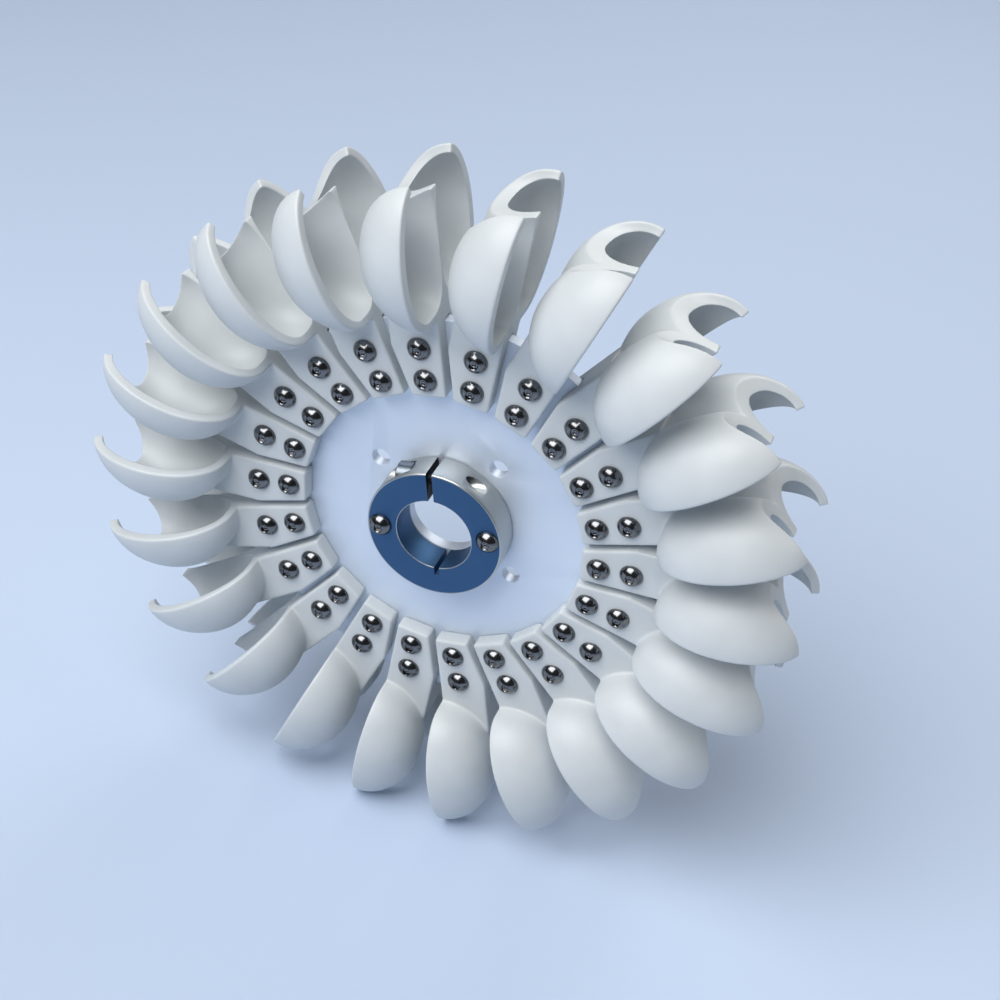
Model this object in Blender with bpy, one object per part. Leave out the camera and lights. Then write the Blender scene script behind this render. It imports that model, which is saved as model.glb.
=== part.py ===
"""Small bolted Pelton runner: a thin disc, twenty-two double-cup buckets and a split shaft collar.

The wheel stands upright. Its spinning axis is Y, the collar faces -Y, and the origin is the centre
of the disc. Seen from the front the buckets open clockwise. Sizes are in metres.
"""

import math

import bmesh
import bpy
from mathutils import Matrix, Vector

MM = 0.001
GAP = 0.3 * MM  # kept between pieces that touch on the real wheel
CUT_RISE = 3 * MM  # how far a cutter stands above the face that it opens
CUT_REACH = 30 * MM  # more than the depth of anything that is cut right through

# The wheel
BUCKETS = 22
PITCH = 2 * math.pi / BUCKETS
BEYOND_WHEEL = 140 * MM  # a radius outside every bucket

# The disc
DISC_RADIUS = 70.5 * MM
DISC_THICKNESS = 4.0 * MM
BORE_RADIUS = 12.5 * MM
DISC_HOLES = 4
DISC_HOLE_RADIUS = 3.0 * MM
DISC_HOLE_CIRCLE = 28.0 * MM
DISC_HOLE_ANGLE = math.radians(57.7)

# One bucket: radius out from the axis, width along the axis, depth round the wheel
RIM_LEVEL = 6.9 * MM  # rim, splitter and front flank of the ears lie in this plane
EAR_START = 46.6 * MM
EAR_HALF_WIDTH = 7.6 * MM
EAR_TAIL = 9.2 * MM  # how far the ears reach behind the bolt line
EAR_CLEARANCE = 2.1 * MM  # gap from one bucket's ears to the next
STEM_END = 84.0 * MM
CUP_CENTRE_RADIUS = 94.5 * MM
CUP_CENTRE_WIDTH = 12.4 * MM
# Reach of a bowl from the cup's centre: towards the axle, outwards, sideways and in depth
CUP_OUTSIDE = (22.2 * MM, 24.2 * MM, 15.6 * MM, 18.3 * MM)
CUP_CAVITY = (19.4 * MM, 21.5 * MM, 12.0 * MM, 14.3 * MM)
SPLITTER_SQUARENESS = 3.5  # 2 is an ellipse, more gives a straighter splitter
NOTCH_RADIUS = 111.6 * MM  # splitter tip
NOTCH_HALF_WIDTH = 16.0 * MM
NOTCH_REACH = 9.0 * MM  # from the splitter tip out to where the cut has its full width
NOTCH_SQUARENESS = 2.6
NOTCH_SLOPE = 0.45  # inward run of the cut for each unit of depth

# The collar
COLLAR_RADIUS = 22.5 * MM
COLLAR_FRONT = 13.1 * MM  # from the disc's middle plane
COLLAR_ANGLE = math.radians(99.7)  # direction of the slot
SLOT_WIDTH = 2.2 * MM
RELIEF_WIDTH = 1.6 * MM
RELIEF_DEPTH = 3.0 * MM
CLAMP_SCREW_OFFSET = 17.7 * MM
CLAMP_SHANK_RADIUS = 2.0 * MM
CLAMP_SHANK_END = 9.0 * MM  # from the slot's middle
CLAMP_HEAD_RADIUS = 4.2 * MM
CLAMP_HEAD_LENGTH = 4.7 * MM
CLAMP_SEAT = 7.3 * MM  # floor of the head's counterbore, from the slot's middle
FACE_SCREW_CIRCLE = 18.0 * MM
FACE_SCREW_SPREAD = math.radians(87)
FACE_SHANK_RADIUS = 2.0 * MM
FACE_HEAD_RADIUS = 3.8 * MM
FACE_HEAD_HEIGHT = 2.2 * MM
FACE_HEAD_EDGE = 0.4 * MM  # height of the head's straight rim
HOLE_CLEARANCE = 0.35 * MM


def clear_scene():
    for item in list(bpy.data.objects):
        bpy.data.objects.remove(item, do_unlink=True)


def make_material(name, colour, roughness, metallic):
    material = bpy.data.materials.new(name)
    material.use_nodes = True
    shader = material.node_tree.nodes["Principled BSDF"]
    shader.inputs["Base Color"].default_value = (*colour, 1)
    shader.inputs["Roughness"].default_value = roughness
    shader.inputs["Metallic"].default_value = metallic
    return material


def add_object(name, mesh, material=None):
    piece = bpy.data.objects.new(name, mesh)
    bpy.context.scene.collection.objects.link(piece)
    if material is not None and not mesh.materials:
        mesh.materials.append(material)
    return piece


def mesh_from(name, points, faces):
    """A closed mesh from points and faces, with its normals turned outwards."""
    mesh = bpy.data.meshes.new(name)
    mesh.from_pydata(points, [], faces)
    shape = bmesh.new()
    shape.from_mesh(mesh)
    bmesh.ops.recalc_face_normals(shape, faces=shape.faces)
    shape.to_mesh(mesh)
    shape.free()
    return mesh


def prism(name, outline, low, high, axis):
    """The outline (pairs) pushed from low to high along axis "y" or "z"."""
    def point(a, b, level):
        return (a, level, b) if axis == "y" else (a, b, level)

    count = len(outline)
    points = [point(a, b, level) for level in (low, high) for a, b in outline]
    faces = [tuple(range(count)), tuple(range(count, 2 * count))]
    faces += [(i, (i + 1) % count, count + (i + 1) % count, count + i) for i in range(count)]
    return mesh_from(name, points, faces)


def box(name, low, high):
    outline = [(low[0], low[1]), (high[0], low[1]), (high[0], high[1]), (low[0], high[1])]
    return prism(name, outline, low[2], high[2], "z")


def circle(radius, segments, centre=(0, 0)):
    steps = [2 * math.pi * i / segments for i in range(segments)]
    return [(centre[0] + radius * math.cos(a), centre[1] + radius * math.sin(a)) for a in steps]


def rod(name, radius, start, end, segments):
    """A round rod from start to end."""
    shape = bmesh.new()
    length = (end - start).length
    bmesh.ops.create_cone(
        shape, cap_ends=True, segments=segments, radius1=radius, radius2=radius, depth=length
    )
    turn = (end - start).to_track_quat("Z", "Y").to_matrix().to_4x4()
    bmesh.ops.transform(
        shape, matrix=Matrix.Translation((start + end) / 2) @ turn, verts=shape.verts
    )
    mesh = bpy.data.meshes.new(name)
    shape.to_mesh(mesh)
    shape.free()
    return mesh


def combine(name, base, steps):
    """The base mesh after Boolean steps, each an operation and a mesh."""
    body = add_object(name, base)
    helpers = []
    for number, (operation, mesh) in enumerate(steps):
        helper = add_object(f"{name}_helper_{number}", mesh)
        helper.hide_render = True
        helper.display_type = "WIRE"
        helpers.append(helper)
        modifier = body.modifiers.new(f"step_{number}", "BOOLEAN")
        modifier.operation = operation
        modifier.solver = "EXACT"
        modifier.object = helper
    graph = bpy.context.evaluated_depsgraph_get()
    result = bpy.data.meshes.new_from_object(body.evaluated_get(graph))
    result.name = name
    for item in [body, *helpers]:
        bpy.data.objects.remove(item, do_unlink=True)
    return result


def smooth(mesh, degrees=35):
    mesh.shade_smooth()
    mesh.set_sharp_from_angle(angle=math.radians(degrees))


def signed_power(value, power):
    return math.copysign(abs(value) ** power, value)


def bowl(name, side, reach, rise, segments, rings):
    """One cup as a solid bowl lying on the rim plane, in the bucket's own axes: X out from the
    axle, Y along it, Z backwards from the cup's mouth. rise lifts the flat top above the rim."""
    root, tip, half, depth = reach
    rows = [(1.0, -RIM_LEVEL - rise)] if rise else []
    for ring in range(rings):
        angle = 0.5 * math.pi * ring / rings
        rows.append((math.cos(angle), -RIM_LEVEL + depth * math.sin(angle)))
    points = []
    for scale, level in rows:
        for turn in circle(1.0, segments):
            along = tip if turn[0] > 0 else root
            power = 1.0 if turn[1] >= 0 else 2 / SPLITTER_SQUARENESS
            out = signed_power(turn[0], power) * along * scale
            across = signed_power(turn[1], power) * half * scale
            points.append((CUP_CENTRE_RADIUS + out, side * (CUP_CENTRE_WIDTH + across), level))
    points.append((CUP_CENTRE_RADIUS, side * CUP_CENTRE_WIDTH, -RIM_LEVEL + depth))
    last = (len(rows) - 1) * segments
    faces = [tuple(range(segments))]
    for row in range(len(rows) - 1):
        for i in range(segments):
            a = row * segments + i
            b = row * segments + (i + 1) % segments
            faces.append((a, b, b + segments, a + segments))
    faces += [(last + i, last + (i + 1) % segments, len(points) - 1) for i in range(segments)]
    return mesh_from(name, points, faces)


def notch_cutter():
    """What the jet's notch takes off the outer end. In plan it is the blunt end of a superellipse,
    nearest the axle at the splitter, and it leans inwards with depth."""
    steps = 8
    outline = [(BEYOND_WHEEL, -NOTCH_HALF_WIDTH)]
    for step in range(-steps, steps + 1):
        turn = 0.5 * math.pi * step / steps
        width = NOTCH_HALF_WIDTH * signed_power(math.sin(turn), 2 / NOTCH_SQUARENESS)
        reach = NOTCH_REACH * (1 - signed_power(math.cos(turn), 2 / NOTCH_SQUARENESS))
        outline.append((NOTCH_RADIUS + reach, width))
    outline.append((BEYOND_WHEEL, NOTCH_HALF_WIDTH))
    cutter = prism("notch", outline, -CUT_RISE, CUP_OUTSIDE[3] + CUT_RISE, "z")
    lean = Matrix.Identity(4)
    lean[0][2] = -NOTCH_SLOPE
    cutter.transform(Matrix.Translation((0, 0, -RIM_LEVEL)) @ lean)
    return cutter


def ear_outline():
    """The flat of both ears, seen along the axle: straight in front, and behind it follows the
    next bucket's front flank at a constant clearance."""
    def tail(radius):
        return radius * math.tan(PITCH) - (RIM_LEVEL + EAR_CLEARANCE) / math.cos(PITCH)

    bend = (EAR_TAIL + (RIM_LEVEL + EAR_CLEARANCE) / math.cos(PITCH)) / math.tan(PITCH)
    return [
        (EAR_START, -RIM_LEVEL),
        (STEM_END, -RIM_LEVEL),
        (STEM_END, EAR_TAIL),
        (bend, EAR_TAIL),
        (EAR_START, tail(EAR_START)),
    ]


def bucket_mesh():
    ears = prism("ears", ear_outline(), -EAR_HALF_WIDTH, EAR_HALF_WIDTH, "y")
    slot_half = DISC_THICKNESS / 2 + GAP
    slot_end = DISC_RADIUS + 2 * GAP
    slot_start = EAR_START - CUT_RISE
    slot = box("slot", (slot_start, -slot_half, -CUT_REACH), (slot_end, slot_half, CUT_REACH))
    steps = [
        ("UNION", bowl("front_cup", -1, CUP_OUTSIDE, 0, 18, 4)),
        ("UNION", bowl("rear_cup", 1, CUP_OUTSIDE, 0, 18, 4)),
        ("DIFFERENCE", bowl("front_cavity", -1, CUP_CAVITY, CUT_RISE, 16, 3)),
        ("DIFFERENCE", bowl("rear_cavity", 1, CUP_CAVITY, CUT_RISE, 16, 3)),
        ("DIFFERENCE", notch_cutter()),
        ("DIFFERENCE", slot),
    ]
    return combine("bucket", ears, steps)


def add_buckets(material):
    """All the buckets, clockwise from the top. The wheel is turned so that the horns of the two
    lowest buckets stand level."""
    mesh = bucket_mesh()
    smooth(mesh)
    mesh.materials.append(material)
    horn = max(mesh.vertices, key=lambda v: math.hypot(v.co.x, v.co.z)).co
    horn_lead = math.atan2(-horn.z, horn.x)
    first = math.pi / 2 + PITCH / 2 + horn_lead
    for number in range(BUCKETS):
        piece = add_object(f"bucket_{number + 1:02d}", mesh)
        piece.rotation_euler.y = -(first - PITCH * number)


def on_circle(radius, angle, depth):
    return Vector((radius * math.cos(angle), depth, radius * math.sin(angle)))


def face_screw_angles():
    return (COLLAR_ANGLE + FACE_SCREW_SPREAD, COLLAR_ANGLE - FACE_SCREW_SPREAD)


def add_disc(material):
    half = DISC_THICKNESS / 2
    disc = prism("wheel_disc", circle(DISC_RADIUS, 88), -half, half, "y")
    reach = Vector((0, CUT_REACH, 0))
    steps = [("DIFFERENCE", rod("bore", BORE_RADIUS, -reach, reach, 48))]
    for number in range(DISC_HOLES):
        centre = on_circle(DISC_HOLE_CIRCLE, DISC_HOLE_ANGLE + number * math.pi / 2, 0)
        hole = rod("hole", DISC_HOLE_RADIUS, centre - reach, centre + reach, 16)
        steps.append(("DIFFERENCE", hole))
    for angle in face_screw_angles():
        centre = on_circle(FACE_SCREW_CIRCLE, angle, 0)
        radius = FACE_SHANK_RADIUS + HOLE_CLEARANCE
        steps.append(("DIFFERENCE", rod("screw_hole", radius, centre - reach, centre + reach, 12)))
    mesh = combine("wheel_disc", disc, steps)
    smooth(mesh)
    add_object("wheel_disc", mesh, material)


def clamp_axis():
    """A point in the slot on the clamp screw's axis, and the way towards its head."""
    width_middle = -(COLLAR_FRONT + DISC_THICKNESS / 2 + GAP) / 2
    centre = on_circle(CLAMP_SCREW_OFFSET, COLLAR_ANGLE, width_middle)
    towards = on_circle(1.0, COLLAR_ANGLE + math.pi / 2, 0)
    return centre, towards


def add_collar(material):
    back = -(DISC_THICKNESS / 2 + GAP)
    ring = prism("ring", circle(COLLAR_RADIUS, 64), -COLLAR_FRONT, back, "y")
    reach = Vector((0, CUT_REACH, 0))
    turn = Matrix.Rotation(-COLLAR_ANGLE, 4, "Y")
    half = SLOT_WIDTH / 2
    slot = box("slot", (0, -CUT_REACH, -half), (CUT_REACH, CUT_REACH, half))
    slot.transform(turn)
    half = RELIEF_WIDTH / 2
    relief_start = -(BORE_RADIUS + RELIEF_DEPTH)
    relief = box("relief", (relief_start, -CUT_REACH, -half), (0, CUT_REACH, half))
    relief.transform(turn)
    centre, towards = clamp_axis()
    far = towards * CUT_REACH
    shank_hole = rod(
        "shank_hole", CLAMP_SHANK_RADIUS + HOLE_CLEARANCE, centre - far, centre + far, 16
    )
    seat = centre + towards * CLAMP_SEAT
    head_hole = rod("head_hole", CLAMP_HEAD_RADIUS + HOLE_CLEARANCE, seat, centre + far, 24)
    steps = [
        ("DIFFERENCE", rod("bore", BORE_RADIUS, -reach, reach, 48)),
        ("DIFFERENCE", slot),
        ("DIFFERENCE", relief),
        ("DIFFERENCE", shank_hole),
        ("DIFFERENCE", head_hole),
    ]
    for angle in face_screw_angles():
        middle = on_circle(FACE_SCREW_CIRCLE, angle, 0)
        radius = FACE_SHANK_RADIUS + HOLE_CLEARANCE
        steps.append(("DIFFERENCE", rod("face_hole", radius, middle - reach, middle + reach, 12)))
    mesh = combine("collar", ring, steps)
    smooth(mesh)
    add_object("collar", mesh, material)


def add_clamp_screw(material):
    centre, towards = clamp_axis()
    under = centre + towards * (CLAMP_SEAT + GAP)
    top = under + towards * CLAMP_HEAD_LENGTH
    head = rod("head", CLAMP_HEAD_RADIUS, under, top, 24)
    shank_end = centre - towards * CLAMP_SHANK_END
    shank = rod("shank", CLAMP_SHANK_RADIUS, shank_end, (under + top) / 2, 16)
    mesh = combine("collar_clamp_screw", head, [("UNION", shank)])
    smooth(mesh)
    add_object("collar_clamp_screw", mesh, material)


def dome_screw(segments, rings):
    """A dome-head screw turned round Z: the head's underside is at zero, the shank below it."""
    shank_length = COLLAR_FRONT + DISC_THICKNESS / 2 - GAP
    profile = [(FACE_SHANK_RADIUS, -shank_length), (FACE_SHANK_RADIUS, 0), (FACE_HEAD_RADIUS, 0)]
    for ring in range(rings):
        angle = 0.5 * math.pi * ring / rings
        level = FACE_HEAD_EDGE + (FACE_HEAD_HEIGHT - FACE_HEAD_EDGE) * math.sin(angle)
        profile.append((FACE_HEAD_RADIUS * math.cos(angle), level))
    points = [(x, y, z) for r, z in profile for x, y in circle(r, segments)]
    points += [(0, 0, -shank_length), (0, 0, FACE_HEAD_HEIGHT)]
    bottom = len(points) - 2
    top = len(points) - 1
    faces = []
    for row in range(len(profile) - 1):
        for i in range(segments):
            a = row * segments + i
            b = row * segments + (i + 1) % segments
            faces.append((a, b, b + segments, a + segments))
    last = (len(profile) - 1) * segments
    for i in range(segments):
        faces.append((i, (i + 1) % segments, bottom))
        faces.append((last + i, last + (i + 1) % segments, top))
    return mesh_from("dome_screw", points, faces)


def add_face_screws(material):
    mesh = dome_screw(12, 3)
    smooth(mesh)
    mesh.materials.append(material)
    for name, angle in zip(("collar_screw_left", "collar_screw_right"), face_screw_angles()):
        piece = add_object(name, mesh)
        piece.location = on_circle(FACE_SCREW_CIRCLE, angle, -(COLLAR_FRONT + GAP))
        piece.rotation_euler.x = math.pi / 2


def main():
    clear_scene()
    moulding = make_material("light_grey_moulding", (0.66, 0.68, 0.69), 0.5, 0.0)
    satin = make_material("satin_aluminium", (0.72, 0.76, 0.84), 0.38, 1.0)
    polished = make_material("polished_steel", (0.55, 0.57, 0.6), 0.16, 1.0)
    screws = make_material("bright_steel", (0.6, 0.6, 0.6), 0.12, 1.0)
    add_buckets(moulding)
    add_disc(satin)
    add_collar(polished)
    add_clamp_screw(screws)
    add_face_screws(screws)


main()
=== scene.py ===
# %% [markdown]
# # A small pelton wheel, dressed for the camera
# A pelton wheel is the rotor of a water turbine. A jet strikes the sharp splitter in the middle of
# each bucket, parts in two, and leaves the cups sideways. This one is bolted together: moulded
# buckets sit astride the edge of a thin metal disc, two screws hold each of them, and a split
# collar grips the shaft. The frame below gives the true size and place of every part, so each
# fine mesh in this lesson is made where its plain solid already stands.

# %% Open the frame
import math

import bmesh
import bpy
from mathutils import Matrix, Vector


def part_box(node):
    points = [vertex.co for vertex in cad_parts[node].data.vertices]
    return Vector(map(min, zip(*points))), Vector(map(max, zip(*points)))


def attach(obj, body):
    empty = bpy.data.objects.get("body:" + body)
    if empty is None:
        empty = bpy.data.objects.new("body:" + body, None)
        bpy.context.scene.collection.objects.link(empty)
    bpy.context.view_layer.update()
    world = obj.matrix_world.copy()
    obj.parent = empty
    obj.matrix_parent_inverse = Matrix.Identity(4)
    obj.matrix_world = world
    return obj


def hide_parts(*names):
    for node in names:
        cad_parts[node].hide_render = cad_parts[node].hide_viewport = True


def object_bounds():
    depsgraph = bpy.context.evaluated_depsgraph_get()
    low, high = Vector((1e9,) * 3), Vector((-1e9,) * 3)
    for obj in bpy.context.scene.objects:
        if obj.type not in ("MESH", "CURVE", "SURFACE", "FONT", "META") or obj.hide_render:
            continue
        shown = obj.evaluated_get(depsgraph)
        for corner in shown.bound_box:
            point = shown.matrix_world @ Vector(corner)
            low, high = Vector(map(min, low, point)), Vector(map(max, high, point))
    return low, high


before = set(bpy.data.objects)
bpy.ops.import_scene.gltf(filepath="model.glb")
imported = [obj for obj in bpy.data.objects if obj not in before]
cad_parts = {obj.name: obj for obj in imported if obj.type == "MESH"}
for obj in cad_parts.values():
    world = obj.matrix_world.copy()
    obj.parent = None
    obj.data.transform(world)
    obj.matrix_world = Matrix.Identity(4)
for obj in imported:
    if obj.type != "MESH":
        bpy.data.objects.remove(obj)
cad_box = [list(corner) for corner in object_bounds()]
MM = 0.001
BODY = "root"
print("parts in the frame:", len(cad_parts))

# %% [markdown]
# ## Measures
# The frame already knows many sizes: the disc gives its radius and thickness, and the collar its
# radius and its two faces. A bucket is drawn by its curves and not by its box, so its sizes are
# repeated where they are needed. In its drawing X runs out along the bucket, Y along the axle and
# Z backwards, away from the mouth of the cups.

# %% Sizes from the frame
BUCKETS = 22
PITCH = 2 * math.pi / BUCKETS
bucket_nodes = [f"bucket_{number + 1:02d}" for number in range(BUCKETS)]

disc_low, disc_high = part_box("wheel_disc")
DISC_RADIUS = disc_high.z
DISC_HALF = disc_high.y
collar_low, collar_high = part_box("collar")
COLLAR_FRONT = -collar_low.y
COLLAR_BACK = -collar_high.y
COLLAR_RADIUS = collar_high.z
print(f"disc {2 * DISC_RADIUS / MM:.0f} mm across, collar {2 * COLLAR_RADIUS / MM:.0f} mm")

# %% [markdown]
# The wheel is turned so that two buckets share its weight at the bottom. How far the first bucket
# has turned could be copied from the drawing, but measuring it is safer: the vertex farthest from
# the axle is a horn tip, and its angle, with the small lead of the rim plane taken back, gives the
# turn.

# %% Turn of the first bucket
RIM_LEVEL = 6.9 * MM  # the rim and the splitter lie in one plane, this far ahead of the screws

first_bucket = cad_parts[bucket_nodes[0]].data
horn = max((vertex.co for vertex in first_bucket.vertices), key=lambda point: point.xz.length)
FIRST_TURN = math.atan2(horn.z, horn.x) + math.asin(RIM_LEVEL / horn.xz.length)
print(f"horn tips {horn.xz.length / MM:.1f} mm from the axle")
print(f"first bucket at {math.degrees(FIRST_TURN):.2f} degrees")

# %% [markdown]
# ## The camera
# A photograph fixes a camera completely once enough points of known place are found in it. Here
# the two rings of screw heads gave the lens and where it stands. Azimuth, elevation and roll are
# easier to read than a matrix: the camera stands a little to the right, looks down and leans
# slightly.

# %% Camera
CAMERA_PLACE = Vector((126.6, -407.9, 322.4)) * MM
VIEW_AZIMUTH = math.radians(15.14)
VIEW_ELEVATION = math.radians(36.39)
VIEW_ROLL = math.radians(7.88)
LENS_MM = 60.38
SENSOR_MM = 36
NEAREST_SEEN = 10 * MM

camera_data = bpy.data.cameras.new("photo_camera")
camera_data.sensor_width = SENSOR_MM
camera_data.lens = LENS_MM
camera_data.clip_start = NEAREST_SEEN
camera = bpy.data.objects.new("photo_camera", camera_data)
bpy.context.scene.collection.objects.link(camera)
camera.matrix_world = (
    Matrix.Translation(CAMERA_PLACE)
    @ Matrix.Rotation(VIEW_AZIMUTH, 4, "Z")
    @ Matrix.Rotation(math.pi / 2 - VIEW_ELEVATION, 4, "X")
    @ Matrix.Rotation(VIEW_ROLL, 4, "Z")
)
bpy.context.scene.camera = camera
print(f"camera {CAMERA_PLACE.length:.2f} m from the hub")

# %% [markdown]
# ## Colour and shader helpers
# Colours are written as they are picked from a screen, in sRGB hex, and one function turns them
# into the linear light that shaders add up. Another adds a node, sets it and links it, which
# keeps every material readable as a short list. A number that is the same all over a surface goes
# straight onto the shader's own socket.

# %% Helpers for materials
def linear(code):
    """The linear values of an sRGB hex colour such as "c8ccce"."""
    channels = [int(code[i : i + 2], 16) / 255 for i in (0, 2, 4)]
    return tuple(c / 12.92 if c <= 0.04045 else ((c + 0.055) / 1.055) ** 2.4 for c in channels)


def wire(material, node, links):
    """Feeds the node's sockets. links gives each of them another node and its output."""
    for name, (source, output) in links.items():
        material.node_tree.links.new(source.outputs[output], node.inputs[name])


def add_node(material, kind, settings=None, values=None, links=None):
    """Adds a node. settings are its properties, values its sockets' numbers, and links the
    outputs that feed its sockets."""
    node = material.node_tree.nodes.new(kind)
    for name, value in (settings or {}).items():
        setattr(node, name, value)
    for name, value in (values or {}).items():
        node.inputs[name].default_value = value
    wire(material, node, links or {})
    return node


def new_material(name, values):
    """A material and its shader, with values on the shader's own sockets."""
    material = bpy.data.materials.new(name)
    material.use_nodes = True
    shader = material.node_tree.nodes["Principled BSDF"]
    for socket, value in values.items():
        shader.inputs[socket].default_value = value
    return material, shader


def set_ramp(node, stops):
    """Fills a colour ramp from (position, hex colour) pairs."""
    ramp = node.color_ramp
    while len(ramp.elements) < len(stops):
        ramp.elements.new(1.0)
    for element, (position, code) in zip(ramp.elements, stops):
        element.position = position
        element.color = (*linear(code), 1)


print(f"a screen grey of 0.50 is {linear('808080')[0]:.2f} in linear light")

# %% [markdown]
# ## Stage
# The wheel stands on a plain pale floor that is large enough to fill the view. It is matt paint:
# it takes the soft shadow and mirrors next to nothing.

# %% Floor
FLOOR_HALF_WIDTH = 3.0


def make_floor():
    material, shader = new_material(
        "painted_floor", {"Base Color": (*linear("c1d1e9"), 1), "Roughness": 0.7}
    )
    level = cad_box[0][2]
    signs = ((-1, -1), (1, -1), (1, 1), (-1, 1))
    corners = [(x * FLOOR_HALF_WIDTH, y * FLOOR_HALF_WIDTH, level) for x, y in signs]
    mesh = bpy.data.meshes.new("floor")
    mesh.from_pydata(corners, [], [(0, 1, 2, 3)])
    mesh.materials.append(material)
    floor = bpy.data.objects.new("floor", mesh)
    bpy.context.scene.collection.objects.link(floor)
    return level


floor_level = make_floor()
print(f"floor at {floor_level / MM:.1f} mm, with the hub at 0")

# %% [markdown]
# ## Light
# Large soft lamps show the form without adding anything of their own. The key lamp hangs high in
# front and a little to the left: from there the cups shade towards the lower right and each screw
# head carries one bright spot near its top. Two weak lamps lift the back and the right side. A hard
# lamp would give crisper edges, but it would also cut the shallow cups into black and white. The
# Standard view transform keeps the contrast of the light as it falls, where the default one would
# flatten the pale cups.

# %% Lamps
ROOM_BRIGHTNESS = 0.07


def add_lamp(name, place, size, watts):
    """A square area lamp that looks at the hub."""
    data = bpy.data.lights.new(name, "AREA")
    data.size = size
    data.energy = watts
    lamp = bpy.data.objects.new(name, data)
    lamp.location = place
    lamp.rotation_euler = (-Vector(place)).to_track_quat("-Z", "Y").to_euler()
    bpy.context.scene.collection.objects.link(lamp)


add_lamp("key_lamp", place=(-0.42, -0.68, 1.22), size=1.35, watts=28.5)
add_lamp("back_lamp", place=(0.2, 1.1, 0.9), size=0.9, watts=7)
add_lamp("side_lamp", place=(1.25, 0.3, 0.6), size=0.8, watts=2.5)
bpy.context.scene.view_settings.view_transform = "Standard"
world = bpy.data.worlds.new("studio")
world.use_nodes = True
background = world.node_tree.nodes["Background"]
background.inputs["Color"].default_value = (*linear("dfe6ee"), 1)
background.inputs["Strength"].default_value = ROOM_BRIGHTNESS
bpy.context.scene.world = world

# %% [markdown]
# ## One bucket
# The real bucket is one moulding: two cups with a flat rim, a splitter between them, a notch in
# the outer end, and two ears that straddle the disc. It could be sculpted or lofted, but a mould
# maker would start from plain solids and cutters, and so does this. The ears come first. Their
# front edge lies in the rim plane, and their back edge keeps a constant distance from the next
# bucket, so the outline comes from the pitch.

# %% The ears as a block
EAR_START = 46.6 * MM  # from the axle
EAR_HALF_WIDTH = 7.6 * MM
EAR_TAIL = 9.2 * MM  # the most that they reach behind the outer screw
EAR_CLEARANCE = 2.1 * MM  # to the next bucket's ears
STEM_END = 84.0 * MM  # hidden inside the cups


def closed_mesh(name, points, faces):
    """A closed mesh whose faces look outwards, as a Boolean needs them."""
    mesh = bpy.data.meshes.new(name)
    mesh.from_pydata(points, [], faces)
    shape = bmesh.new()
    shape.from_mesh(mesh)
    bmesh.ops.recalc_face_normals(shape, faces=shape.faces)
    shape.to_mesh(mesh)
    shape.free()
    return mesh


def prism(name, outline, low, high, axis="y"):
    """The outline pushed from low to high. It holds X and Z and is pushed along Y, or with
    axis z it holds X and Y and is pushed along Z."""
    count = len(outline)
    points = [(a, level, b) for level in (low, high) for a, b in outline]
    if axis == "z":
        points = [(x, z, y) for x, y, z in points]
    faces = [tuple(range(count)), tuple(range(count, 2 * count))]
    faces += [(i, (i + 1) % count, count + (i + 1) % count, count + i) for i in range(count)]
    return closed_mesh(name, points, faces)


def ear_outline():
    slope = math.tan(PITCH)
    lead = (RIM_LEVEL + EAR_CLEARANCE) / math.cos(PITCH)
    return [
        (EAR_START, -RIM_LEVEL),
        (STEM_END, -RIM_LEVEL),
        (STEM_END, EAR_TAIL),
        ((EAR_TAIL + lead) / slope, EAR_TAIL),
        (EAR_START, EAR_START * slope - lead),
    ]


ear_block = prism("ears", ear_outline(), -EAR_HALF_WIDTH, EAR_HALF_WIDTH)
print(f"ears {2 * EAR_HALF_WIDTH / MM:.1f} mm over both, {len(ear_block.polygons)} faces")

# %% [markdown]
# A moulding has no sharp corners, so a Bevel modifier rounds the block before anything is joined
# to it. Modifiers do the cutting, joining and rounding in this lesson, and one function runs a
# stack of them and keeps the result as a plain mesh.

# %% Round the ears
EAR_ROUND = 0.6 * MM


def apply_stack(name, base, steps):
    """Runs modifiers on the base mesh and returns the finished mesh. A step is a modifier's type
    and its settings, and a Boolean's setting named object is a mesh."""
    body = bpy.data.objects.new(name, base)
    bpy.context.scene.collection.objects.link(body)
    helpers = []
    for kind, settings in steps:
        modifier = body.modifiers.new(kind, kind)
        for key, value in settings.items():
            if key == "object":
                value = bpy.data.objects.new("helper", value)
                bpy.context.scene.collection.objects.link(value)
                helpers.append(value)
            setattr(modifier, key, value)
    graph = bpy.context.evaluated_depsgraph_get()
    result = bpy.data.meshes.new_from_object(body.evaluated_get(graph))
    result.name = name
    for item in [body, *helpers]:
        bpy.data.objects.remove(item)
    return result


rounding = {"width": EAR_ROUND, "segments": 3, "limit_method": "ANGLE"}
ears = apply_stack("ears", ear_block, [("BEVEL", rounding)])
print(f"ears: {len(ears.polygons)} faces with rounded edges")

# %% [markdown]
# A cup is what one bowl leaves of another, so each side has two of them: one for the outside and
# one for the cavity. In plan a bowl is an ellipse, but the side that forms the splitter is
# straighter. A superellipse does that with one number, which a lathe or a sphere could not.

# %% The bowls
CUP_CENTRE = (94.5 * MM, 12.4 * MM)
# Reach of a bowl from the cup's centre: towards the axle, outwards, sideways and in depth
CUP_OUTSIDE = (22.2 * MM, 24.2 * MM, 15.6 * MM, 18.3 * MM)
CUP_CAVITY = (19.4 * MM, 21.5 * MM, 12.0 * MM, 14.3 * MM)
SPLITTER_SQUARENESS = 3.5  # 2 is an ellipse, more gives a straighter splitter
CUT_RISE = 3 * MM  # how far a cutter stands above the face that it opens


def circle(radius, segments):
    turns = [2 * math.pi * i / segments for i in range(segments)]
    return [(radius * math.cos(turn), radius * math.sin(turn)) for turn in turns]


def signed_power(value, power):
    return math.copysign(abs(value) ** power, value)


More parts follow.
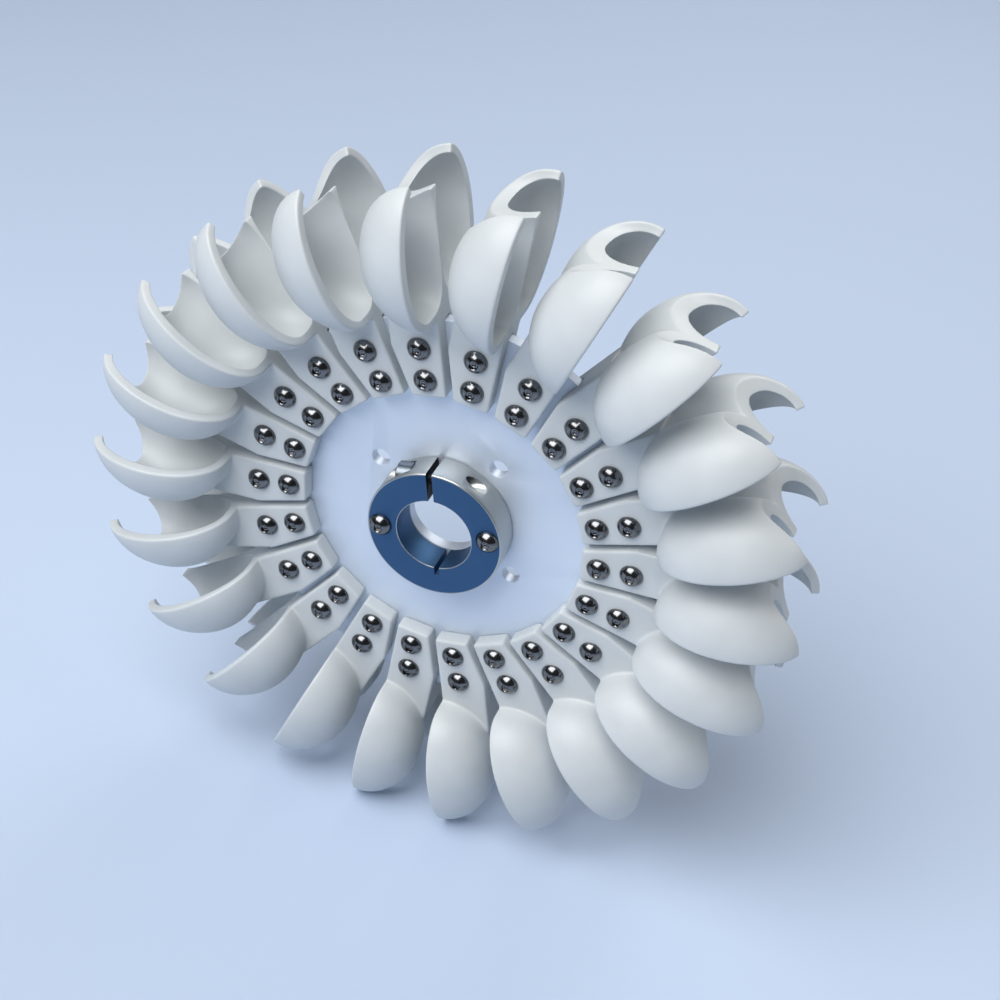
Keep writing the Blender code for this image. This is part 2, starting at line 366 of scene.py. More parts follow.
def bowl(name, side, reach, segments=96, rings=28):
    """One cup as a solid bowl that hangs from the rim plane, with a flat top above it."""
    root, tip, half, depth = reach
    rows = [(1.0, -RIM_LEVEL - CUT_RISE)]
    for ring in range(rings):
        angle = 0.5 * math.pi * ring / rings
        rows.append((math.cos(angle), -RIM_LEVEL + depth * math.sin(angle)))
    points = []
    for scale, level in rows:
        for x, y in circle(1.0, segments):
            power = 1.0 if y >= 0 else 2 / SPLITTER_SQUARENESS
            out = signed_power(x, power) * (tip if x > 0 else root) * scale
            across = signed_power(y, power) * half * scale
            points.append((CUP_CENTRE[0] + out, side * (CUP_CENTRE[1] + across), level))
    points.append((CUP_CENTRE[0], side * CUP_CENTRE[1], -RIM_LEVEL + depth))
    faces = [tuple(range(segments))]
    for row in range(len(rows) - 1):
        for i in range(segments):
            a = row * segments + i
            b = row * segments + (i + 1) % segments
            faces.append((a, b, b + segments, a + segments))
    last = (len(rows) - 1) * segments
    faces += [(last + i, last + (i + 1) % segments, len(points) - 1) for i in range(segments)]
    return closed_mesh(name, points, faces)


outer_bowls = [bowl("outside", side, CUP_OUTSIDE) for side in (-1, 1)]
cavities = [bowl("cavity", side, CUP_CAVITY) for side in (-1, 1)]
print(f"bowls: {len(outer_bowls[0].polygons)} faces each")
print(f"wall at the bottom of a cup: {(CUP_OUTSIDE[3] - CUP_CAVITY[3]) / MM:.1f} mm")

# %% [markdown]
# The notch lets the jet past until the bucket meets it squarely. In plan it is a blunt curve that
# is nearest the axle at the splitter, and it leans inwards with depth, so a straight prism and a
# shear make its cutter.

# %% The notch
NOTCH_RADIUS = 111.6 * MM
NOTCH_HALF_WIDTH = 16.0 * MM
NOTCH_REACH = 9.0 * MM  # from the splitter's tip out to where the cut has its full width
NOTCH_SQUARENESS = 2.6
NOTCH_SLOPE = 0.45  # inward run of the cut for each unit of depth
BEYOND_WHEEL = 140 * MM


def notch_cutter(steps=24):
    outline = [(BEYOND_WHEEL, -NOTCH_HALF_WIDTH)]
    for step in range(-steps, steps + 1):
        turn = 0.5 * math.pi * step / steps
        width = NOTCH_HALF_WIDTH * signed_power(math.sin(turn), 2 / NOTCH_SQUARENESS)
        reach = NOTCH_REACH * (1 - signed_power(math.cos(turn), 2 / NOTCH_SQUARENESS))
        outline.append((NOTCH_RADIUS + reach, width))
    outline.append((BEYOND_WHEEL, NOTCH_HALF_WIDTH))
    cutter = prism("notch", outline, -CUT_RISE, CUP_OUTSIDE[3] + CUT_RISE, "z")
    lean = Matrix.Identity(4)
    lean[0][2] = -NOTCH_SLOPE
    cutter.transform(Matrix.Translation((0, 0, -RIM_LEVEL)) @ lean)
    return cutter


notch = notch_cutter()
print(f"notch: leans {math.degrees(math.atan(NOTCH_SLOPE)):.0f} degrees inwards")

# %% [markdown]
# Two plain blocks complete the cutters. One takes off all that stands above the flat rim. The
# other opens the slot between the ears, with a little clearance round the disc, as a real fit has.

# %% Rim plane and slot
CUT_REACH = 30 * MM  # more than the depth of anything that is cut right through
SLOT_SIDE_CLEARANCE = 0.15 * MM  # on either side of the disc
SLOT_END_CLEARANCE = 0.3 * MM  # beyond its edge


def rectangle(low, high):
    return [(low[0], low[1]), (high[0], low[1]), (high[0], high[1]), (low[0], high[1])]


def disc_slot():
    half = DISC_HALF + SLOT_SIDE_CLEARANCE
    end = DISC_RADIUS + SLOT_END_CLEARANCE
    outline = rectangle((EAR_START - CUT_RISE, -CUT_REACH), (end, CUT_REACH))
    return prism("disc_slot", outline, -half, half)


def space_above_rim():
    outline = rectangle((EAR_START, -CUT_REACH - RIM_LEVEL), (BEYOND_WHEEL, -RIM_LEVEL))
    return prism("space_above_rim", outline, -CUT_REACH, CUT_REACH)


print(f"slot: {2 * (DISC_HALF + SLOT_SIDE_CLEARANCE) / MM:.1f} mm wide")

# %% [markdown]
# Now the moulding is put together. The ears and the two outer bowls are joined, and the rim plane
# and the notch are cut. A voxel remesh with some rounds of smoothing then melts joins and outer
# edges into the soft radii of the real moulding. Only after that do the slot and the two cavities
# cut into it, because the edges inside the cups are crisp. A second, finer remesh takes the last
# sharpness off them, and a decimate step brings the mesh back to a sensible size.

# %% The whole bucket
FILLET_VOXEL = 0.35 * MM
FILLET_ROUNDS = 8
EDGE_VOXEL = 0.25 * MM
EDGE_ROUNDS = 2
BUCKET_TRIANGLES = 34000


def join(mesh):
    return "BOOLEAN", {"operation": "UNION", "object": mesh}


def cut(mesh):
    return "BOOLEAN", {"operation": "DIFFERENCE", "object": mesh}


def melted(name, mesh, voxel, rounds):
    """Remeshed as one even skin, and then smoothed."""
    skin = ("REMESH", {"mode": "VOXEL", "voxel_size": voxel})
    return apply_stack(name, mesh, [skin, ("SMOOTH", {"factor": 0.5, "iterations": rounds})])


steps = [*(join(mesh) for mesh in outer_bowls), cut(space_above_rim()), cut(notch)]
solid = apply_stack("outside", ears, steps)
outside = melted("outside", solid, FILLET_VOXEL, FILLET_ROUNDS)
opened = apply_stack("cut", outside, [cut(disc_slot()), *(cut(mesh) for mesh in cavities)])
fine = melted("fine", opened, EDGE_VOXEL, EDGE_ROUNDS)
ratio = BUCKET_TRIANGLES / (2 * len(fine.polygons))  # two triangles in each face of a remesh
bucket = apply_stack("bucket", fine, [("DECIMATE", {"ratio": min(1.0, ratio)})])
bucket.shade_smooth()
print(f"bucket: {len(outside.polygons)} faces before the last cuts, {len(fine.polygons)} after")

# %% [markdown]
# ## Moulded nylon
# The buckets are an injection moulding in light grey, such as glass-filled nylon. The steel mould
# is finely blasted, so the skin is matt with a very fine grain, and it shows broad soft
# highlights. The grain is finer than a pixel here, so it is drawn a little coarser than it is.

# %% Bucket material
def moulded_nylon():
    material, shader = new_material("moulded_glass_filled_nylon", {"IOR": 1.53})
    place = add_node(material, "ShaderNodeTexCoord")
    cloud = add_node(
        material,
        "ShaderNodeTexNoise",
        values={"Scale": 1 / (18 * MM), "Detail": 3.0},
        links={"Vector": (place, "Object")},
    )
    tint = add_node(material, "ShaderNodeValToRGB", links={"Fac": (cloud, "Fac")})
    set_ramp(tint, [(0.3, "ccd1d3"), (0.7, "d4d9db")])
    gloss = add_node(
        material,
        "ShaderNodeMapRange",
        values={"To Min": 0.4, "To Max": 0.5},
        links={"Value": (cloud, "Fac")},
    )
    grain = add_node(
        material,
        "ShaderNodeTexNoise",
        values={"Scale": 1 / (0.5 * MM), "Detail": 2.0},
        links={"Vector": (place, "Object")},
    )
    bump = add_node(
        material,
        "ShaderNodeBump",
        values={"Strength": 0.12, "Distance": 0.05 * MM},
        links={"Height": (grain, "Fac")},
    )
    wire(
        material,
        shader,
        {"Base Color": (tint, "Color"), "Roughness": (gloss, "Result"), "Normal": (bump, "Normal")},
    )
    return material


bucket.materials.append(moulded_nylon())
print("bucket material:", bucket.materials[0].name)

# %% [markdown]
# ## All the buckets
# One mesh serves every bucket, which keeps the file small, and each gets its own turn round the
# axle. Their numbers run clockwise as the camera sees the wheel. Each takes the place of its plain
# solid in the frame.

# %% Place the buckets
def add_piece(name, mesh, replaced=()):
    """Puts a finished mesh into the scene and takes away the solids that it replaces."""
    piece = bpy.data.objects.new(name, mesh)
    bpy.context.scene.collection.objects.link(piece)
    if replaced:
        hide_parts(*replaced)
    return piece


def bucket_turn(number):
    return Matrix.Rotation(-(FIRST_TURN - PITCH * number), 4, "Y")


for number, node in enumerate(bucket_nodes):
    piece = add_piece(f"moulding_{number + 1:02d}", bucket, [node])
    piece.matrix_world = bucket_turn(number)
    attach(piece, BODY)
print(f"buckets: {BUCKETS} of {len(bucket.polygons)} faces each")

# %% [markdown]
# ## The screws
# Button-head screws hold the buckets: a dome with a hexagon recess, an M4 thread and, behind, a
# hexagon nut. Two shapes are enough for all of them. One is a profile turned round its axis, as on
# a lathe, and the other a hexagon bar. Both are drawn upright and laid along the axle later.

# %% Turned and hexagonal shapes
SOCKET_FLATS = 2.5 * MM


def turned(name, profile, segments):
    """A closed solid of revolution round Z, from (radius, height) pairs that start and end
    on the axis."""
    points = [(0, 0, profile[0][1]), (0, 0, profile[-1][1])]
    rows = profile[1:-1]
    points += [(x, y, height) for radius, height in rows for x, y in circle(radius, segments)]
    faces = []
    for i in range(segments):
        after = (i + 1) % segments
        faces.append((0, 2 + i, 2 + after))
        last = 2 + (len(rows) - 1) * segments
        faces.append((1, last + i, last + after))
        for row in range(len(rows) - 1):
            start = 2 + row * segments
            faces.append((start + i, start + after, start + after + segments, start + i + segments))
    return closed_mesh(name, points, faces)


def hexagon(name, across_flats, low, high):
    corner = across_flats / math.sqrt(3)
    points = [(x, y, level) for level in (low, high) for x, y in circle(corner, 6)]
    faces = [tuple(range(6)), tuple(range(6, 12))]
    faces += [(i, (i + 1) % 6, 6 + (i + 1) % 6, 6 + i) for i in range(6)]
    return closed_mesh(name, points, faces)


print(f"socket: {2 * SOCKET_FLATS / math.sqrt(3) / MM:.2f} mm across its corners")

# %% [markdown]
# The head is a low dome. A hexagon cuts its recess, and a small cone opens the recess's mouth, as a
# punch does. Such cuts can leave vertices in pairs where two cutters' edges meet, so a Weld
# modifier ends the stack.

# %% Screw head
HEAD_RADIUS = 3.8 * MM
HEAD_HEIGHT = 2.8 * MM
HEAD_EDGE = 0.35 * MM  # where the dome starts, above the underside
FOOT_CHAMFER = 0.15 * MM
SOCKET_DEPTH = 1.0 * MM
MOUTH_RADIUS = 1.65 * MM  # of the cone, at the depth below
MOUTH_DEPTH = 0.25 * MM


def weld():
    """Merges the doubled vertices that a Boolean can leave where two cutters' edges meet."""
    return "WELD", {"merge_threshold": 0.002 * MM}


def dome_head(rows=10):
    """The head's underside lies at height 0."""
    rise = HEAD_HEIGHT - HEAD_EDGE
    sphere = (HEAD_RADIUS**2 + rise**2) / (2 * rise)
    profile = [(0, 0), (HEAD_RADIUS - FOOT_CHAMFER, 0), (HEAD_RADIUS, FOOT_CHAMFER)]
    for row in range(rows):
        radius = HEAD_RADIUS * (1 - row / rows)
        height = HEAD_HEIGHT - sphere + math.sqrt(sphere**2 - radius**2)
        profile.append((radius, height))
    profile.append((0, HEAD_HEIGHT))
    dome = turned("dome", profile, segments=48)
    above = HEAD_HEIGHT + CUT_RISE
    socket = hexagon("socket", SOCKET_FLATS, HEAD_HEIGHT - SOCKET_DEPTH, above)
    tip = HEAD_HEIGHT - MOUTH_RADIUS
    slope = MOUTH_RADIUS / (HEAD_HEIGHT - MOUTH_DEPTH - tip)
    cone = [(0, tip), (slope * (above - tip), above), (0, above)]
    mouth = turned("mouth", cone, segments=48)
    return apply_stack("dome_head", dome, [cut(socket), cut(mouth), weld()])


screw_head = dome_head()
print(f"screw head: {2 * HEAD_RADIUS / MM:.1f} mm across, {len(screw_head.polygons)} faces")

# %% [markdown]
# A nut's corners are turned down at both ends. On a lathe that is one cut, and here it is too: the
# hexagon keeps only what lies inside a turned shape. The screw's chamfered end stands out of it.

# %% Nut
NUT_FLATS = 7.0 * MM
NUT_HEIGHT = 3.2 * MM
NUT_CHAMFER = 0.5 * MM
NUT_MARGIN = 0.1 * MM  # the chamfer starts this far inside the flats and ends outside the corners
SCREW_RADIUS = 2.0 * MM
SCREW_END = 1.2 * MM
SCREW_END_CHAMFER = 0.4 * MM
SCREW_START = 0.2 * MM  # inside the nut, so that the two don't share a face


def nut_with_end():
    outer = NUT_FLATS / math.sqrt(3) + NUT_MARGIN
    inner = NUT_FLATS / 2 - NUT_MARGIN
    profile = [(0, 0), (inner, 0), (outer, NUT_CHAMFER)]
    profile += [(outer, NUT_HEIGHT - NUT_CHAMFER), (inner, NUT_HEIGHT), (0, NUT_HEIGHT)]
    limits = turned("limits", profile, segments=48)
    end = NUT_HEIGHT + SCREW_END
    tip = [(0, SCREW_START), (SCREW_RADIUS, SCREW_START), (SCREW_RADIUS, end - SCREW_END_CHAMFER)]
    tip += [(SCREW_RADIUS - SCREW_END_CHAMFER, end), (0, end)]
    nut = hexagon("nut", NUT_FLATS, 0, NUT_HEIGHT)
    steps = [("BOOLEAN", {"operation": "INTERSECT", "object": limits})]
    steps += [join(turned("tip", tip, segments=32)), weld()]
    return apply_stack("nut_with_end", nut, steps)


screw_nut = nut_with_end()
print(f"nut: {NUT_FLATS / MM:.0f} mm across its flats, {len(screw_nut.polygons)} faces")

# %% [markdown]
# ## Black-oxide steel
# A smooth steel screw shows the room that it stands in. Its small dome gathers the whole studio:
# the key lamp becomes one bright spot with a soft edge, the floor a grey crescent below it, and the
# black oxide keeps the rest dark. Metals keep the default IOR, since their colour already carries
# their reflectance. The roughness is broken up slightly, because an oiled screw that was driven by
# hand is never a clean mirror.

# %% Screw material
def black_oxide_steel():
    material, shader = new_material("oiled_black_oxide_steel", {"Metallic": 1.0})
    place = add_node(material, "ShaderNodeTexCoord")
    smears = add_node(
        material,
        "ShaderNodeTexNoise",
        values={"Scale": 1 / (2.5 * MM), "Detail": 4.0},
        links={"Vector": (place, "Object")},
    )
    tint = add_node(material, "ShaderNodeValToRGB", links={"Fac": (smears, "Fac")})
    set_ramp(tint, [(0.3, "747577"), (0.75, "7f8082")])
    gloss = add_node(
        material,
        "ShaderNodeMapRange",
        values={"To Min": 0.15, "To Max": 0.2},
        links={"Value": (smears, "Fac")},
    )
    wire(material, shader, {"Base Color": (tint, "Color"), "Roughness": (gloss, "Result")})
    return material


screw_steel = black_oxide_steel()
print("screw material:", screw_steel.name)

# %% [markdown]
# Forty-four screws as forty-four objects would only make the list longer, so all heads become one
# mesh and all nuts another. A matrix for each copy says where it goes. Shading is smooth but for
# the edges where two faces meet at more than a stated angle.

# %% Many copies in one mesh
SHARP_EDGE = math.radians(35)


def copies(name, mesh, places):
    """One mesh that holds a copy of the given mesh at each matrix."""
    shape = bmesh.new()
    for place in places:
        before = len(shape.verts)
        shape.from_mesh(mesh)
        shape.verts.ensure_lookup_table()
        bmesh.ops.transform(shape, matrix=place, verts=shape.verts[before:])
    result = bpy.data.meshes.new(name)
    shape.to_mesh(result)
    shape.free()
    result.shade_smooth()
    result.set_sharp_from_angle(angle=SHARP_EDGE)
    return result


print(f"edges sharper than {math.degrees(SHARP_EDGE):.0f} degrees stay crisp")

# %% [markdown]
# Each matrix turns a screw from upright to the axle's direction, sets it on its ear and swings it
# round to its bucket. The heads look to the front and the nuts to the back.

# %% Place the screws and nuts
SCREW_SPOTS = ((63.0 * MM, 0.0), (52.4 * MM, -0.86 * MM))  # X and Z in the bucket's drawing


def facing(front, along, height, depth):
    """A matrix that puts Z on the axle's direction, towards the front or the back."""
    quarter = math.pi / 2 if front else -math.pi / 2
    return Matrix.Translation((along, depth, height)) @ Matrix.Rotation(quarter, 4, "X")


head_places = []
nut_places = []
for number in range(BUCKETS):
    for along, height in SCREW_SPOTS:
        head_place = facing(True, along, height, -EAR_HALF_WIDTH)
        nut_place = facing(False, along, height, EAR_HALF_WIDTH)
        head_places.append(bucket_turn(number) @ head_place)
        nut_places.append(bucket_turn(number) @ nut_place)
for name, mesh, places in (
    ("bucket_screws", screw_head, head_places),
    ("bucket_nuts", screw_nut, nut_places),
):
    joined = copies(name, mesh, places)
    joined.materials.append(screw_steel)
    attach(add_piece(name, joined), BODY)
    print(f"{name}: {len(places)} copies, {len(joined.polygons)} faces")

# %% [markdown]
# ## The disc
# The disc is sheet metal, turned on its edge, bored for the shaft and drilled four times. Holes in
# a flat sheet are Boolean cuts. The tool for them is a plain rod between two points, which also
# suits holes that lie askew, such as those in the collar.

# %% Drilling
BORE_RADIUS = 12.5 * MM


def on_circle(radius, angle, depth=0.0):
    return Vector((radius * math.cos(angle), depth, radius * math.sin(angle)))


def rod(name, radius, start, end, segments):
    """A round rod between two points."""
    shape = bmesh.new()
    length = (end - start).length
    bmesh.ops.create_cone(
        shape, cap_ends=True, segments=segments, radius1=radius, radius2=radius, depth=length
    )
    turn = (end - start).to_track_quat("Z", "Y").to_matrix().to_4x4()
    bmesh.ops.transform(shape, matrix=Matrix.Translation((start + end) / 2) @ turn, verts=shape.verts)
    mesh = bpy.data.meshes.new(name)
    shape.to_mesh(mesh)
    shape.free()
    return mesh


print(f"shaft bore: {2 * BORE_RADIUS / MM:.0f} mm")

# %% [markdown]
# A small bevel breaks every edge of the drilled disc, as a deburring tool does. Only edges sharper
# than a stated angle count, so the many short facets of a round edge are left alone.

# %% Disc mesh
DISC_HOLES = 4
DISC_HOLE_RADIUS = 3.0 * MM
DISC_HOLE_CIRCLE = 28.0 * MM
DISC_HOLE_ANGLE = math.radians(57.7)
EDGE_BREAK = 0.25 * MM
BEVEL_ABOVE = math.radians(40)
DISC_SHARP_EDGE = math.radians(50)


def soft_edges(width, segments):
    settings = {"width": width, "segments": segments}
    settings.update({"limit_method": "ANGLE", "angle_limit": BEVEL_ABOVE})
    return "BEVEL", settings


def disc_mesh():
    blank = prism("disc", circle(DISC_RADIUS, segments=256), -DISC_HALF, DISC_HALF)
    reach = Vector((0, 3 * DISC_HALF, 0))
    steps = [cut(rod("bore", BORE_RADIUS, -reach, reach, segments=96))]
    for number in range(DISC_HOLES):
        centre = on_circle(DISC_HOLE_CIRCLE, DISC_HOLE_ANGLE + number * math.pi / 2)
        hole = rod("hole", DISC_HOLE_RADIUS, centre - reach, centre + reach, segments=48)
        steps.append(cut(hole))
    mesh = apply_stack("disc", blank, [*steps, soft_edges(EDGE_BREAK, segments=3)])
    mesh.shade_smooth()
    mesh.set_sharp_from_angle(angle=DISC_SHARP_EDGE)
    return mesh


disc = disc_mesh()
print(f"disc: {2 * DISC_HALF / MM:.0f} mm thick, {len(disc.polygons)} faces")

# %% [markdown]
# ## Satin aluminium
# The disc's face is even and slightly milky, neither a mirror nor paint: rolled aluminium sheet
# that was etched. The etch leaves a fine pale skin that scatters much of the light, so the shader
# is only half metallic, and a whole metal would mirror the dark parts of the room. Fine lines along
# the rolling direction stretch the highlights a little. They are drawn about a third of a
# millimetre apart, coarser than they are, so that they show. Faint clouds keep the sheet from one
# flat colour.

# %% Disc material
def satin_aluminium():
    material, shader = new_material("etched_rolled_aluminium", {"Metallic": 0.5})
    place = add_node(material, "ShaderNodeTexCoord")
    rolling = add_node(
        material,
        "ShaderNodeMapping",
        values={"Scale": (1 / (12 * MM), 1 / (12 * MM), 1 / (0.35 * MM))},
        links={"Vector": (place, "Object")},
    )
    lines = add_node(
        material,
        "ShaderNodeTexNoise",
        values={"Scale": 1.0, "Detail": 3.0},
        links={"Vector": (rolling, "Vector")},
    )
    clouds = add_node(
        material,
        "ShaderNodeTexNoise",
        values={"Scale": 1 / (30 * MM), "Detail": 2.0},
        links={"Vector": (place, "Object")},
    )
    tint = add_node(material, "ShaderNodeValToRGB", links={"Fac": (clouds, "Fac")})
    set_ramp(tint, [(0.3, "dce6f4"), (0.7, "e4edf9")])
    gloss = add_node(
        material,
        "ShaderNodeMapRange",
        values={"To Min": 0.42, "To Max": 0.52},
        links={"Value": (lines, "Fac")},
    )
    bump = add_node(
        material,
        "ShaderNodeBump",
        values={"Strength": 0.08, "Distance": 0.02 * MM},
        links={"Height": (lines, "Fac")},
    )
    wire(
        material,
        shader,
        {"Base Color": (tint, "Color"), "Roughness": (gloss, "Result"), "Normal": (bump, "Normal")},
    )
    return material


disc.materials.append(satin_aluminium())
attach(add_piece("disc_sheet", disc, ["wheel_disc"]), BODY)
print("disc material:", disc.materials[0].name)

# %% [markdown]
# ## The shaft collar
# A split collar is a ring with a slot on one side and a relief cut opposite, so that one cross
# screw can close it on the shaft. The head of that screw sinks into a counterbore in the rim. Two
# dome screws hold the collar to the disc. Both saw cuts lie on one line through the axle, so one
# function makes the cutter of either.

# %% Saw cuts and clamp
COLLAR_ANGLE = math.radians(99.7)  # of the slot, from X towards Z
CLAMP_OFFSET = 17.7 * MM  # from the axle to the middle of the clamp screw

clamp_centre = on_circle(CLAMP_OFFSET, COLLAR_ANGLE, -(COLLAR_FRONT + COLLAR_BACK) / 2)
clamp_way = on_circle(1.0, COLLAR_ANGLE + math.pi / 2)


def wedge(name, start, end, half):
    """A box through the collar, from start to end along the slot's direction."""
    block = prism(name, rectangle((start, -half), (end, half)), -CUT_REACH, CUT_REACH)
    block.transform(Matrix.Rotation(-COLLAR_ANGLE, 4, "Y"))
    return block


print(f"clamp screw: {clamp_centre.xz.length / MM:.1f} mm from the axle")

# %% [markdown]
# The ring is rounded, bored, cut and deburred in the order of the real work, with a bevel after
# each stage. One bevel at the end would be simpler, but the turned edges are rounder than those
# that a saw or a drill left.

# %% Collar mesh
SLOT_WIDTH = 2.0 * MM
RELIEF_WIDTH = 1.6 * MM
RELIEF_DEPTH = 3.0 * MM
CLAMP_SEAT = 7.3 * MM  # from the clamp screw's middle to the bottom of its counterbore
CLAMP_HOLE_RADIUS = 2.35 * MM
CLAMP_HEAD_HOLE_RADIUS = 4.55 * MM
EDGE_ROUND = 0.55 * MM
CUT_EDGE_BREAK = 0.12 * MM


def collar_mesh():
    ring = prism("ring", circle(COLLAR_RADIUS, segments=192), -COLLAR_FRONT, -COLLAR_BACK)
    reach = Vector((0, CUT_REACH, 0))
    start = clamp_centre - clamp_way * CUT_REACH
    end = clamp_centre + clamp_way * CUT_REACH
    seat = clamp_centre + clamp_way * CLAMP_SEAT
    steps = [
        soft_edges(EDGE_ROUND, segments=3),
        cut(rod("bore", BORE_RADIUS, -reach, reach, segments=128)),
        soft_edges(EDGE_BREAK, segments=2),
        cut(wedge("slot", 0, CUT_REACH, SLOT_WIDTH / 2)),
        cut(wedge("relief", -(BORE_RADIUS + RELIEF_DEPTH), 0, RELIEF_WIDTH / 2)),
        cut(rod("shank_hole", CLAMP_HOLE_RADIUS, start, end, segments=48)),
        cut(rod("head_hole", CLAMP_HEAD_HOLE_RADIUS, seat, end, segments=64)),
        soft_edges(CUT_EDGE_BREAK, segments=2),
    ]
    mesh = apply_stack("collar", ring, steps)
    mesh.shade_smooth()
    mesh.set_sharp_from_angle(angle=SHARP_EDGE)
    return mesh


collar = collar_mesh()
print(f"collar: {(COLLAR_FRONT - COLLAR_BACK) / MM:.1f} mm wide, {len(collar.polygons)} faces")

# %% [markdown]
# ## Turned steel
# The collar is steel, and its marks are what a tool left there: a lathe, a lap or a saw. Its slate
# blue and its dark slot are not tool finishes but painted reflection and painted shade, given as
# colours below. A lathe leaves concentric marks, so the noise follows the distance from the axle
# alone. On the walls of the slot the same rings come out as straight lines, like those of a saw.
# Handling leaves smears in the gloss. Real marks of fine turning are too close to show, so they are
# drawn about a third of a millimetre apart.

# %% Steel with tool marks
def turned_steel(name, colour, gloss_range, ring_spacing, ring_depth):
    """Steel with concentric tool marks round the axle. gloss_range is its span of roughness."""
    material, shader = new_material(name, {"Base Color": (*linear(colour), 1), "Metallic": 1.0})
    place = add_node(material, "ShaderNodeTexCoord")
    flat = add_node(
        material,
        "ShaderNodeVectorMath",
        {"operation": "MULTIPLY"},
        values={1: (1, 0, 1)},
        links={0: (place, "Object")},
    )
    radius = add_node(
        material, "ShaderNodeVectorMath", {"operation": "LENGTH"}, links={0: (flat, "Vector")}
    )
    rings = add_node(
        material,
        "ShaderNodeTexNoise",
        {"noise_dimensions": "1D"},
        values={"Scale": 1 / ring_spacing, "Detail": 1.0},
        links={"W": (radius, "Value")},
    )
    smears = add_node(
        material,
        "ShaderNodeTexNoise",
        values={"Scale": 1 / (6 * MM), "Detail": 3.0},
        links={"Vector": (place, "Object")},
    )
    gloss = add_node(
        material,
        "ShaderNodeMapRange",
        values={"From Min": 0.3, "From Max": 0.7, "To Min": gloss_range[0], "To Max": gloss_range[1]},
        links={"Value": (smears, "Fac")},
    )
    bump = add_node(
        material,
        "ShaderNodeBump",
        values={"Strength": 0.1, "Distance": ring_depth},
        links={"Height": (rings, "Fac")},
    )
    wire(material, shader, {"Roughness": (gloss, "Result"), "Normal": (bump, "Normal")})
    return material


satin_rim_steel = turned_steel(
    "fine_turned_satin_steel",
    "c1c3c0",
    gloss_range=(0.3, 0.4),
    ring_spacing=0.3 * MM,
    ring_depth=0.02 * MM,
)
print("rim material:", satin_rim_steel.name)

# %% [markdown]
# The same function with other numbers gives the two other materials. The lapped face is duller, and
# its marks are hardly felt. A mirror takes its tint from the room and would turn white in a pale
# studio, so a painted reflection of a dark blue room is given to the metal itself as a slate tint.
# The saw leaves the deep slot dull, and its near-black colour is painted shade of that narrow slot.

# %% Collar materials
# The slate blue is a painted reflection of a dark blue room, not the steel's own colour.
face_steel_painted_reflection = turned_steel(
    "lapped_steel_painted_reflection",
    "46688e",
    gloss_range=(0.5, 0.56),
    ring_spacing=0.25 * MM,
    ring_depth=0.004 * MM,
)
# The near-black colour is painted shade of the deep, narrow slot. The dull gloss is the saw's.
slot_steel_painted_shade = turned_steel(
    "saw_cut_steel_painted_shade",
    "1d252d",
    gloss_range=(0.45, 0.6),
    ring_spacing=0.4 * MM,
    ring_depth=0.02 * MM,
)
for finish in (satin_rim_steel, face_steel_painted_reflection, slot_steel_painted_shade):
    collar.materials.append(finish)
print("collar materials:", ", ".join(finish.name for finish in collar.materials))

# %% [markdown]
# ## One steel finish and two painted lights on one ring
# The rim of the collar is fine-turned and stays a satin light grey, and so do its rounded edges
# and drilled holes. The face, the bore and the relief cut in it are smooth, and their slate blue is
# a painted reflection of a dark blue room. The sawn slot is dull, and its dark colour is painted
# shade. Painting a mask would do, but each material belongs to whole faces of the metal, so every
# face is given its material by where it lies and which way it looks.

# %% Sort the collar's faces
# The second material carries a painted reflection of a dark blue room, and the third painted shade of
# the narrow slot.
SATIN, PAINTED_REFLECTION, PAINTED_SLOT_SHADE = range(3)
SLACK = 0.01 * MM  # how far a face may lie from where it is looked for
BORE_SLACK = 0.05 * MM  # more, since the edges that meet the bore are broken
SQUARE_ON = 0.99  # a face looks along a direction if this much of its normal does
FLAT_FRONT = 0.999  # stricter, since some of the small bevels lean only a little


def material_of(face, along, across):
    """along is the slot's direction from the axle, and across the clamp screw's."""
    place = face.center.dot(along)
    in_line = abs(face.center.dot(across)) < SLOT_WIDTH / 2 + SLACK
    if in_line and place > 0 and abs(face.normal.dot(across)) > SQUARE_ON:
        return PAINTED_SLOT_SHADE
    faces_front = face.normal.y < -FLAT_FRONT
    on_bore = abs(face.center.xz.length - BORE_RADIUS) < BORE_SLACK
    lines_bore = on_bore and abs(face.normal.y) < 1 - SQUARE_ON
    lines_relief = in_line and -(BORE_RADIUS + RELIEF_DEPTH + SLACK) < place < 0
    return PAINTED_REFLECTION if faces_front or lines_bore or lines_relief else SATIN


for face in collar.polygons:
    face.material_index = material_of(face, on_circle(1.0, COLLAR_ANGLE), clamp_way)
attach(add_piece("split_collar", collar, ["collar"]), BODY)
print("faces with painted reflection:", sum(face.material_index == PAINTED_REFLECTION for face in collar.polygons))

# %% [markdown]
# ## The collar's screws
# The clamp screw is a socket cap screw along its own axis. A tall head suits it, because it hides
# in the counterbore. The two screws in the face are the same dome heads as on the buckets.

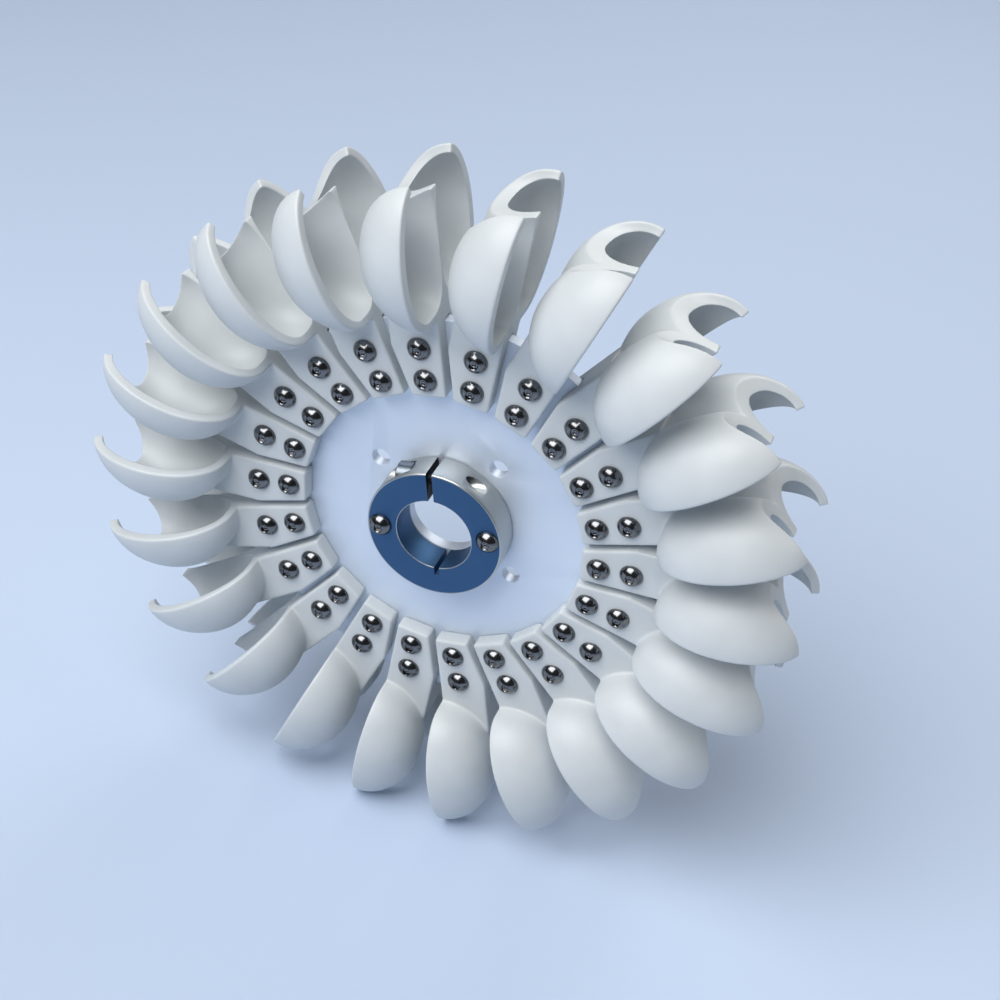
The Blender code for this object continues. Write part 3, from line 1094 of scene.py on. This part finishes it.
# %% Collar screws
CLAMP_SHANK_RADIUS = 2.0 * MM
CLAMP_SHANK_END = 9.0 * MM  # from its middle, away from the head
CLAMP_HEAD_RADIUS = 4.2 * MM
CLAMP_HEAD_LENGTH = 4.7 * MM
CLAMP_HEAD_CHAMFER = 0.3 * MM
CLAMP_HEAD_GAP = 0.05 * MM  # between the head and its seat
CLAMP_SOCKET_FLATS = 4 * MM
CLAMP_SOCKET_DEPTH = 2.5 * MM
FACE_SCREW_CIRCLE = 18.0 * MM
FACE_SCREW_SPREAD = math.radians(87)  # from the slot to either screw


def clamp_screw():
    """A socket cap screw along the clamp's axis. Its head lies in the counterbore."""
    under = CLAMP_SEAT + CLAMP_HEAD_GAP
    top = under + CLAMP_HEAD_LENGTH
    profile = [(0, -CLAMP_SHANK_END), (CLAMP_SHANK_RADIUS, -CLAMP_SHANK_END)]
    profile += [(CLAMP_SHANK_RADIUS, under), (CLAMP_HEAD_RADIUS, under)]
    profile += [(CLAMP_HEAD_RADIUS, top - CLAMP_HEAD_CHAMFER)]
    profile += [(CLAMP_HEAD_RADIUS - CLAMP_HEAD_CHAMFER, top), (0, top)]
    body = turned("clamp_screw", profile, segments=48)
    socket = hexagon("socket", CLAMP_SOCKET_FLATS, top - CLAMP_SOCKET_DEPTH, top + CUT_RISE)
    mesh = apply_stack("clamp_screw", body, [cut(socket), weld()])
    turn = clamp_way.to_track_quat("Z", "Y").to_matrix().to_4x4()
    return copies("clamp_screw", mesh, [Matrix.Translation(clamp_centre) @ turn])


clamp = clamp_screw()
plain_clamp_steel = turned_steel(
    "plain_clamp_steel",
    "7f868e",
    gloss_range=(0.3, 0.4),
    ring_spacing=0.3 * MM,
    ring_depth=0.01 * MM,
)
clamp.materials.append(plain_clamp_steel)
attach(add_piece("clamp_screw", clamp, ["collar_clamp_screw"]), BODY)
for side, hand in ((1, "left"), (-1, "right")):
    node = f"collar_screw_{hand}"
    spot = on_circle(FACE_SCREW_CIRCLE, COLLAR_ANGLE + side * FACE_SCREW_SPREAD, -COLLAR_FRONT)
    head = copies(f"face_screw_{hand}", screw_head, [facing(True, spot.x, spot.z, spot.y)])
    head.materials.append(screw_steel)
    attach(add_piece(head.name, head, [node]), BODY)
print(f"clamp screw: {len(clamp.polygons)} faces, with 2 screws in the collar's face")

# %% Size of the frame
print("frame in mm:", [round((high - low) / MM, 1) for low, high in zip(*cad_box)])
